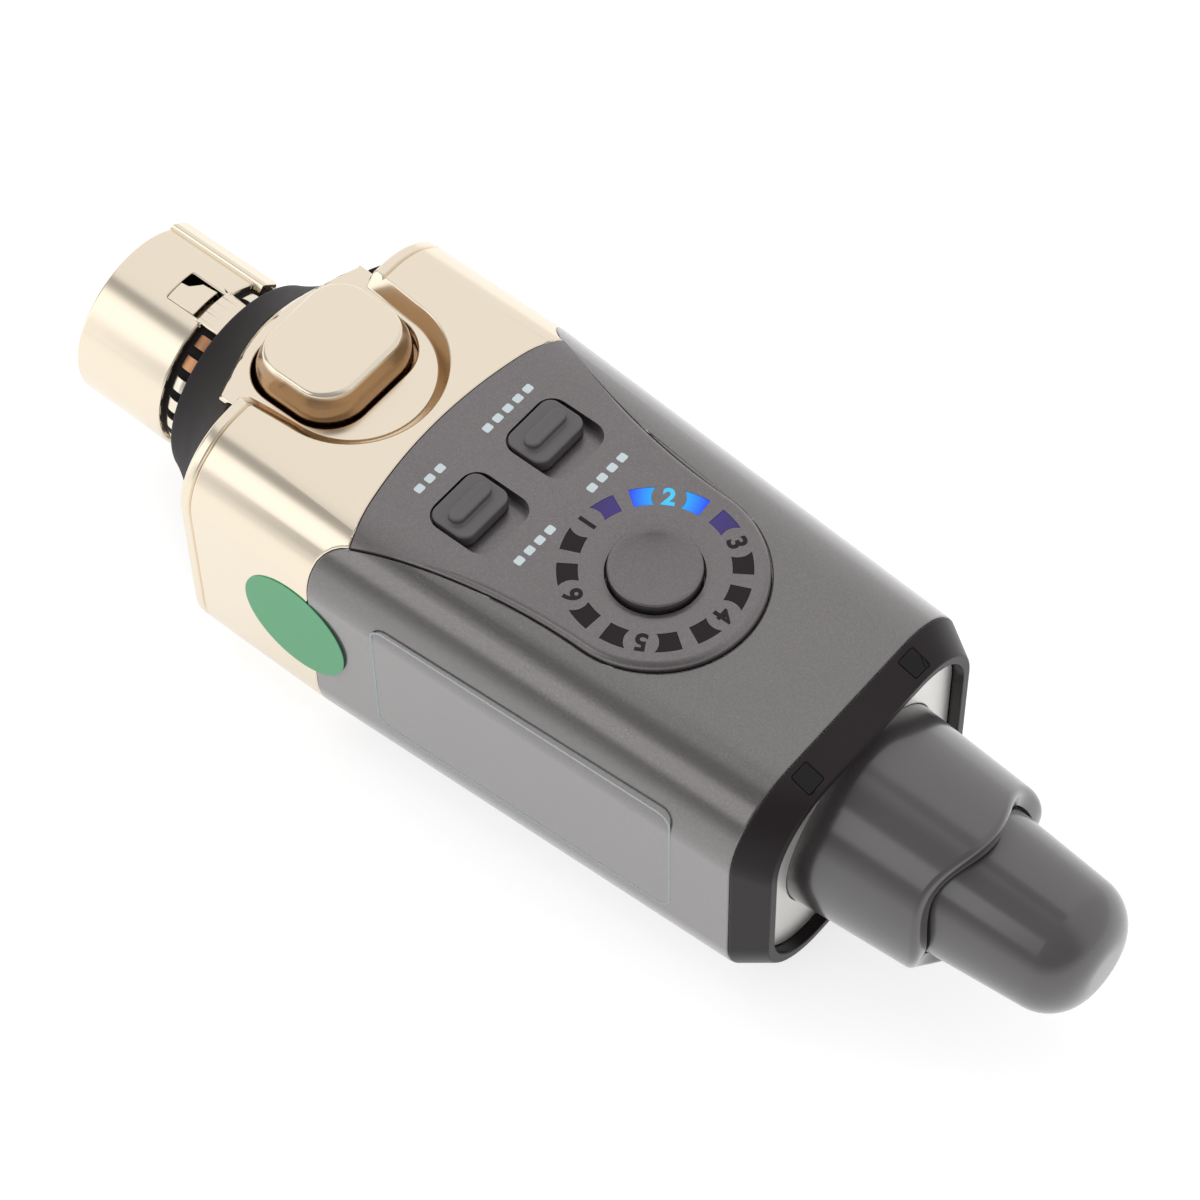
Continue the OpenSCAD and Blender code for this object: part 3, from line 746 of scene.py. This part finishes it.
button_r = 4.45
bore_wide = button_r + 0.25
panel = carved(panel, cone(5.0, 6.5, 0.8, (ring_x, 0, top_z - 0.55 + 0.4)))
panel = carved(panel, cone(bore_wide, bore_wide, 10, (ring_x, 0, 14)))
switch_x, switch_y, slot_len, slot_w, slot_r, well_z = 49.6, 5.4, 7.6, 7.5, 1.8, 14.5
slot_start, slot_stop = switch_x - slot_len / 2, switch_x + slot_len / 2
for y in (-switch_y, switch_y):
    panel = carved(panel, box((slot_start, y - slot_w / 2, well_z), (slot_stop, y + slot_w / 2, 18), slot_r))
    stem_x = slot_start + 0.5
    panel = carved(panel, box((stem_x, y - 1.9, 12), (stem_x + 3.8, y + 1.9, 16)))


def at_angle(shape, degrees):
    """Turns a shape about its own upright axis, and moves that axis to the channel button's."""
    swing(shape, degrees, "Z")
    move(shape, ring_x, 0, 0)
    return shape


def channel_angle(channel):
    """Where a number stands on the ring, from the antenna's side."""
    return 180 - 60 * channel


ring_in_r, ring_out_r, number_r = 7.07, 9.0, 8.03


def light_block(degrees, side, grow, low, high):
    """One light beside a number: a short arc, hollowed where the number stands."""
    near, far = 9.0, 25.0
    arc = [near + (far - near) * i / 5 for i in range(6)]
    trim = math.degrees(grow / 8)
    arc[0], arc[-1] = arc[0] - trim, arc[-1] + trim
    ring = [(r, a) for r, run in ((ring_out_r + grow, arc), (ring_in_r - grow, arc[::-1])) for a in run]
    points = [(r * math.cos(math.radians(a)), r * math.sin(math.radians(a))) for r, a in ring]
    hollow_r = 1.66 - grow
    block = carved(prism(points, low, high), cone(hollow_r, hollow_r, 12, (number_r, 0, 14), 48))
    if side < 0:
        bmesh.ops.scale(block, verts=block.verts, vec=(1, -1, 1))
        bmesh.ops.reverse_faces(block, faces=block.faces)
    return at_angle(block, degrees)


slot_ends = (0.02, top_z - 0.5, top_z + 1)
slots = [light_block(channel_angle(channel), side, *slot_ends) for channel in range(6) for side in (-1, 1)]
panel = carved(panel, gathered(slots))
panel_paint = flaked(
    "panel_paint", (0.125, 0.114, 0.116), (0.265, 0.244, 0.246), 0.9, 0.32, 11000.0, 0.000004,
    Coat_Weight=0.6, Coat_Roughness=0.28,
)
piece("control_panel_plate", panel, "casing", panel_paint, ["control_panel"])

# ---------------------------------------------------------------- channel lights
# Twelve smoked lenses lie level with the panel, two beside each number. The
# pair by channel two is lit blue, and its light leaks into its neighbours.

smoked = grained(
    "smoked_lens", (0.016, 0.011, 0.013), (0.012, 0.008, 0.010), 0.0, 0.3, 0.05, 3000.0, 0.000001,
    Specular_IOR_Level=0.2,
)


def lit_material(name, near_colour, far_colour, reach):
    """A lens that glows, from near_colour at the lit number to far_colour away from it."""
    finish = bpy.data.materials.new(name)
    add, join = tree(finish)
    place = add("ShaderNodeTexCoord")
    turn = Matrix.Rotation(math.radians(channel_angle(1)), 3, "Z")
    lamp_at = turn @ Vector((number_r, 0, 0)) + Vector((ring_x, 0, top_z))
    gap = add("ShaderNodeVectorMath", operation="DISTANCE")
    gap.inputs[1].default_value = lamp_at / 1000
    join(place.outputs["Object"], gap.inputs[0])
    share = add("ShaderNodeMapRange", From_Min=reach[0], From_Max=reach[1])
    join(gap.outputs["Value"], share.inputs["Value"])
    tone = add("ShaderNodeMix", data_type="RGBA", A=(*near_colour, 1), B=(*far_colour, 1))
    join(share.outputs[0], tone.inputs["Factor"])
    unlit = (0.01, 0.01, 0.015, 1)
    surface = add("ShaderNodeBsdfPrincipled", Roughness=0.25, Base_Color=unlit, Emission_Strength=1.0)
    join(tone.outputs["Result"], surface.inputs["Emission Color"])
    join(surface.outputs[0], add("ShaderNodeOutputMaterial").inputs[0])
    return finish


glowing = lit_material("lit_lens", (0.0, 0.42, 1.0), (0.0, 0.05, 0.95), (0.0014, 0.0036))
tinted = lit_material("stray_lit_lens", (0.03, 0.012, 0.16), (0.018, 0.008, 0.10), (0.0050, 0.0080))


def lens_set(name, blocks, finish, stands_for=()):
    """Several lens blocks, each (channel, side), as one piece."""
    foot, face = panel_z + 1.0, top_z - 0.01
    lenses = [light_block(channel_angle(channel), side, 0.0, foot, face) for channel, side in blocks]
    piece(name, gathered(lenses), "casing", finish, stands_for, bevel=0.04, limit=40)


lit = [(1, -1), (1, 1)]
stray = [(0, -1), (2, 1)]
dark = [(channel, side) for channel in range(6) for side in (-1, 1) if (channel, side) not in lit + stray]
lens_set("lens_dark_blocks", dark, smoked, ["channel_lenses"])
lens_set("lens_stray_blocks", stray, tinted)
lens_set("lens_lit_blocks", lit, glowing, ["active_lens"])

# ---------------------------------------------------------------- printed numbers
# The numbers one to six are printed on the panel in black, with their tops
# outwards. The one in use shines through.

ink = grained(
    "black_ink", (0.018, 0.015, 0.017), (0.012, 0.010, 0.011), 0.0, 0.5, 0.1, 4000.0, 0.000001,
    Specular_IOR_Level=0.2,
)
lit_number = lit_material("lit_number", (0.05, 0.62, 1.0), (0.03, 0.50, 1.0), (0.0, 0.0014))


def number(text, degrees, finish):
    """A printed number, a hair proud of the panel."""
    curve = bpy.data.curves.new("number", "FONT")
    curve.body, curve.size, curve.offset, curve.align_x = text, 2.55, 0.085, "CENTER"
    curve.extrude, curve.resolution_u = 0.012, 6
    letter = bpy.data.objects.new("number", curve)
    scene.collection.objects.link(letter)
    flat = bpy.data.meshes.new_from_object(letter.evaluated_get(bpy.context.evaluated_depsgraph_get()))
    bpy.data.objects.remove(letter)
    shape = bmesh.new()
    shape.from_mesh(flat)
    bpy.data.meshes.remove(flat)
    bmesh.ops.remove_doubles(shape, verts=shape.verts, dist=1e-4)
    across, up = [v.co.x for v in shape.verts], [v.co.y for v in shape.verts]
    move(shape, -(min(across) + max(across)) / 2, -(min(up) + max(up)) / 2, 0)
    swing(shape, -90, "Z")
    move(shape, number_r, 0, top_z + 0.006)
    piece("number_" + text, at_angle(shape, degrees), "casing", finish)


for channel in range(6):
    slot, finish = ("lens_lit", lit_number) if channel == 1 else ("dark_trim", ink)
    number(str(channel + 1), channel_angle(channel), finish)

# ---------------------------------------------------------------- channel button
# The channel button is a hard moulded disc, painted like the panel, with a
# rounded edge and a shallow dish for the fingertip. A flange holds it under
# the panel.

dish_r, dish_low = 17.0, 15.9
button_top = top_z + 0.5
profile = [
    (12.3, on_axis), (12.3, 5.6), (13.1, 5.6), (13.1, button_r), (button_top - 0.02, button_r, 0.22, 4),
]
dish_steps, dish_rim = 10, button_r - 0.42
for i in range(dish_steps + 1):
    r = dish_rim * (1 - i / dish_steps)
    z = dish_low + dish_r - math.sqrt(dish_r**2 - r * r)
    profile.append((z, max(r, on_axis)))
disc = turned(profile, steps=96)
swing(disc, -90, "Y")
move(disc, ring_x, 0, 0)
button_paint = flaked(
    "button_paint", (0.105, 0.096, 0.099), (0.225, 0.207, 0.210), 0.8, 0.28, 11000.0, 0.000003,
    Coat_Weight=0.6, Coat_Roughness=0.2,
)
piece("channel_button_cap", disc, "channel_button", button_paint, ["channel_button"])

# ---------------------------------------------------------------- slide switches
# Two slide switch caps sit in their wells, just proud of the panel. Each has
# a raised ridge for the thumb, and a stem that reaches down to its switch.

knob_plastic = grained(
    "knob_plastic", (0.115, 0.106, 0.108), (0.095, 0.088, 0.090), 0.15, 0.42, 0.12, 5000.0, 0.000006,
    Coat_Weight=0.1, Coat_Roughness=0.3,
)
knob_len, knob_w, knob_z = 4.8, 6.7, 16.1
for name, y in (("line_switch", -switch_y), ("power_switch", switch_y)):
    x0 = slot_start + 0.25
    knob = box((x0, y - knob_w / 2, well_z + 0.1), (x0 + knob_len, y + knob_w / 2, knob_z), 1.2)
    ridge_x = x0 + knob_len / 2
    ridge = box((ridge_x - 0.85, y - 2.6, 15), (ridge_x + 0.85, y + 2.6, knob_z + 0.7), 0.84)
    knob = carved(knob, ridge, "UNION")
    knob = carved(knob, box((x0 + 0.5, y - 1.5, 11.4), (x0 + 1.5, y + 1.5, 15.2)), "UNION")
    piece(
        name + "_cap", knob, name, knob_plastic, [name + "_knob"], bevel=0.2, steps=3,
        limit=35,
    )

# ---------------------------------------------------------------- printed marks
# Plain pale marks are printed on the panel, at both ends of each switch's
# travel.

pale_ink = grained("pale_ink", (0.56, 0.64, 0.66), (0.48, 0.56, 0.58), 0.0, 0.5, 0.1, 4000.0, 0.000001)
mark_half_w, mark_len, mark_pitch, mark_z = 0.42, 0.95, 1.45, top_z + 0.015
mark_rows = (
    ("mark_line_front", 43.55, -7.3, 3), ("mark_power_front", 44.0, 1.87, 5),
    ("mark_line_rear", 55.85, -7.6, 4), ("mark_power_rear", 55.85, 2.8, 4),
)
for name, x, first_y, count in mark_rows:
    starts = [first_y + index * mark_pitch for index in range(count)]
    marks = [box((x - mark_half_w, y, top_z), (x + mark_half_w, y + mark_len, mark_z), 0.2) for y in starts]
    piece(name, gathered(marks), "casing", pale_ink)

# ---------------------------------------------------------------- end band
# A dark glossy band caps the rear casing. Two square windows for the status
# lights are let into its top, and a pale silver plate closes the end.

band_gloss = grained(
    "band_gloss", (0.022, 0.017, 0.019), (0.016, 0.012, 0.014), 0.0, 0.34, 0.08, 5000.0, 0.000003,
    Specular_IOR_Level=0.15, Coat_Weight=0.08, Coat_Roughness=0.15,
)
band = body_taper(band_x + 0.1, at_band, band_end_x, at_end)
band = carved(band, section(13.8, -12.9, 12.5, 7, 85, 95, steps=12))


def over_window(lean, half):
    """An upright square block over one of the two windows."""
    x, y = 89.75, lean * 7.77
    return box((x - half, y - half, 12.6), (x + half, y + half, 20), 0.2)


for lean in (-1, 1):
    band = carved(band, over_window(lean, 1.075))
piece("rear_band", band, "casing", band_gloss, ["end_band"], bevel=0.14, steps=3, limit=28)

panes = [
    carved(
        body_taper(band_x + 0.1, at_band, band_end_x, at_end, inset=0.02), over_window(lean, 1.045),
        "INTERSECT",
    )
    for lean in (-1, 1)
]
window_glass = grained(
    "status_glass", (0.008, 0.007, 0.008), (0.006, 0.005, 0.006), 0.0, 0.2, 0.03, 3000.0, 0.0000005,
    Specular_IOR_Level=0.25,
)
piece(
    "status_window_glass", gathered(panes), "casing", window_glass, ["status_windows"],
    bevel=0.05,
)

plate_silver = grained(
    "plate_silver", (0.93, 0.91, 0.88), (0.89, 0.87, 0.84), 0.8, 0.36, 0.12, 6000.0, 0.000004,
)
plate = section(13.7, -12.8, 12.4, 6.9, 89.0, 90.2, steps=12)
plate = carved(plate, turned([(85, on_axis), (85, 10.8), (95, 10.8), (95, on_axis)], steps=96))
piece("silver_end_plate", plate, "casing", plate_silver, ["end_plate"], bevel=0.1, limit=35)

# ---------------------------------------------------------------- antenna
# The antenna's base and cap are moulded in satin grey. The base ends in a
# soft wave, and the narrower cap runs on from it to a rounded tip.

satin_grey = grained(
    "antenna_satin", (0.056, 0.048, 0.050), (0.047, 0.040, 0.042), 0.0, 0.34, 0.10, 4500.0, 0.000006,
    Coat_Weight=1.0, Coat_Roughness=0.14, Coat_IOR=1.75, Sheen_Weight=0.2, Sheen_Roughness=0.3,
)
base_r, foot_r, sleeve_r, base_end_x = 10.75, 10.75 + 1.3, 8.0, 104.05
mast = turned([
    (87.4, sleeve_r), (87.4, foot_r), (89.0, foot_r), (89.0, base_r), (90.2, base_r),
    (base_end_x, base_r - 0.88, 0.75, 6), (base_end_x, sleeve_r, 0.15, 2),
], steps=144)
wave = (-0.19, 0.425, 0.6625)
for v in mast.verts:
    if v.co.x > 100:
        around = math.atan2(v.co.y, v.co.z)
        v.co.x += wave[0] + wave[1] * math.cos(2 * around) + wave[2] * math.cos(4 * around)
piece("antenna_base_shell", mast, "casing", satin_grey, ["antenna_base"])

cap_r, tip_r, tip_x = 7.95, 6.5, 118
cap = turned([(92, on_axis), (92, cap_r), (101, cap_r), (tip_x, tip_r, 4.4, 14), (tip_x, on_axis)])
piece("antenna_cap_shell", cap, "casing", satin_grey, ["antenna_cap"])

# ---------------------------------------------------------------- side label
# A round green paper sticker is stuck on the front casing, up to the seam,
# and the rear casing's label side carries a thin printed frame.

sticker_green = grained(
    "sticker_green", (0.080, 0.52, 0.21), (0.068, 0.48, 0.19), 0.0, 0.4, 0.1, 3000.0, 0.000004,
    Coat_Weight=0.3, Coat_Roughness=0.2,
)
sticker = cone(6.2, 6.2, 0.1, (0, 0, 0))
swing(sticker, 90, "X")
move(sticker, 37.5, -half_w - 0.06, 1.2)
piece("round_sticker", sticker, "casing", sticker_green, ["inspection_sticker"], bevel=0.03)


def side_y(x):
    """Where the tapered label side lies, at x."""
    return -half_w + (half_w - rear_half_w) * (x - seam_x) / (band_x - seam_x)


x0, x1, z0, z1, stroke = 47.1, 81.5, -6.6, 9.9, 0.24
frame_print = prism(rectangle((z0, x0), (z1, x1), 1.6, 8), -0.02, 0.01, "Y")
hole = rectangle((z0 + stroke, x0 + stroke), (z1 - stroke, x1 - stroke), 1.35, 8)
frame_print = carved(frame_print, prism(hole, -1, 1, "Y"))
for v in frame_print.verts:
    v.co.y += side_y(v.co.x)
piece("label_frame", frame_print, "casing", pale_ink)

# ---------------------------------------------------------------- parts kept from the frame
# The contacts, insert, boards, battery, screws and latch spring keep their own
# shapes and get the finish of the real parts.

kept = {
    "connector_insert": grained(
        "insert_plastic", (0.020, 0.020, 0.022), (0.014, 0.014, 0.016), 0.0, 0.5, 0.15, 3000.0, 0.00001,
    ),
    "contact_1": grained(
        "contact_gold", (0.86, 0.66, 0.30), (0.80, 0.58, 0.24), 1.0, 0.25, 0.1, 4000.0, 0.000003,
    ),
    "latch_pivot_pin": grained(
        "ground_steel", (0.62, 0.62, 0.63), (0.54, 0.54, 0.55), 1.0, 0.3, 0.1, 5000.0, 0.000004,
    ),
    "light_guide": grained(
        "frosted_guide", (0.80, 0.83, 0.85), (0.74, 0.77, 0.80), 0.0, 0.5, 0.1, 2500.0, 0.000006,
    ),
    "line_switch_body": grained(
        "switch_tin", (0.60, 0.60, 0.61), (0.52, 0.52, 0.53), 1.0, 0.35, 0.12, 3500.0, 0.000005,
    ),
    "tact_switch": grained(
        "black_moulding", (0.03, 0.03, 0.032), (0.02, 0.02, 0.022), 0.0, 0.45, 0.12, 3500.0, 0.000008,
    ),
    "circuit_board": grained(
        "board_green", (0.02, 0.16, 0.07), (0.015, 0.12, 0.05), 0.0, 0.35, 0.1, 1800.0, 0.000006,
    ),
    "battery": grained(
        "battery_foil", (0.55, 0.57, 0.60), (0.47, 0.49, 0.52), 0.8, 0.35, 0.15, 1500.0, 0.00001,
    ),
    "battery_pad": grained(
        "black_foam", (0.04, 0.04, 0.04), (0.02, 0.02, 0.02), 0.0, 0.9, 0.1, 1500.0, 0.00005,
    ),
}
shared = {
    "contact_2": "contact_1", "contact_3": "contact_1", "antenna_element": "contact_1",
    "latch_spring": "latch_pivot_pin", "board_screws": "latch_pivot_pin",
    "power_switch_body": "line_switch_body", "radio_shield": "line_switch_body",
    "charging_socket": "line_switch_body",
}
finishes = {**kept, **{name: kept[like] for name, like in shared.items()}}
for name, finish in finishes.items():
    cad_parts[name].data.materials.clear()
    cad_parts[name].data.materials.append(finish)
